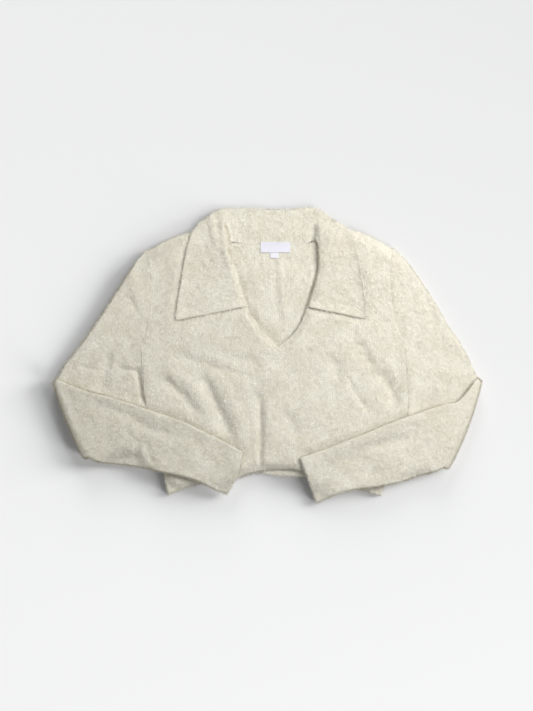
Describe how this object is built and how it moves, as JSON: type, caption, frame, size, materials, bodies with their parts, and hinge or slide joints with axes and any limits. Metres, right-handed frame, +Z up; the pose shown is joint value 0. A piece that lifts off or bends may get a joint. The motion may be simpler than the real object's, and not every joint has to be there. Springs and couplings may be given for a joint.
{
  "type": "cropped knit sweater laid flat",
  "caption": "Cropped brushed-knit pullover with a V neck, wide pointed collar and long sleeves, lying flat with the forearms folded across the front.",
  "frame": {"origin": "middle of the sweater's box in X and Y, on the surface that it lies on", "axes": "+X to the wearer's left, +Y from the hem to the collar, +Z up, off the surface"},
  "size_m": [0.707, 0.4908, 0.0243],
  "materials": {
    "brushed_knit": "long soft nap, matt, ivory",
    "label_tape": "fine woven tape, slightly silky, bare"
  },
  "bodies": {
    "root": {"back": "brushed_knit", "front": "brushed_knit", "right_sleeve": "brushed_knit", "left_sleeve": "brushed_knit", "collar": "brushed_knit", "neck_label": "label_tape", "size_tab": "label_tape"}
  },
  "joints": []
}
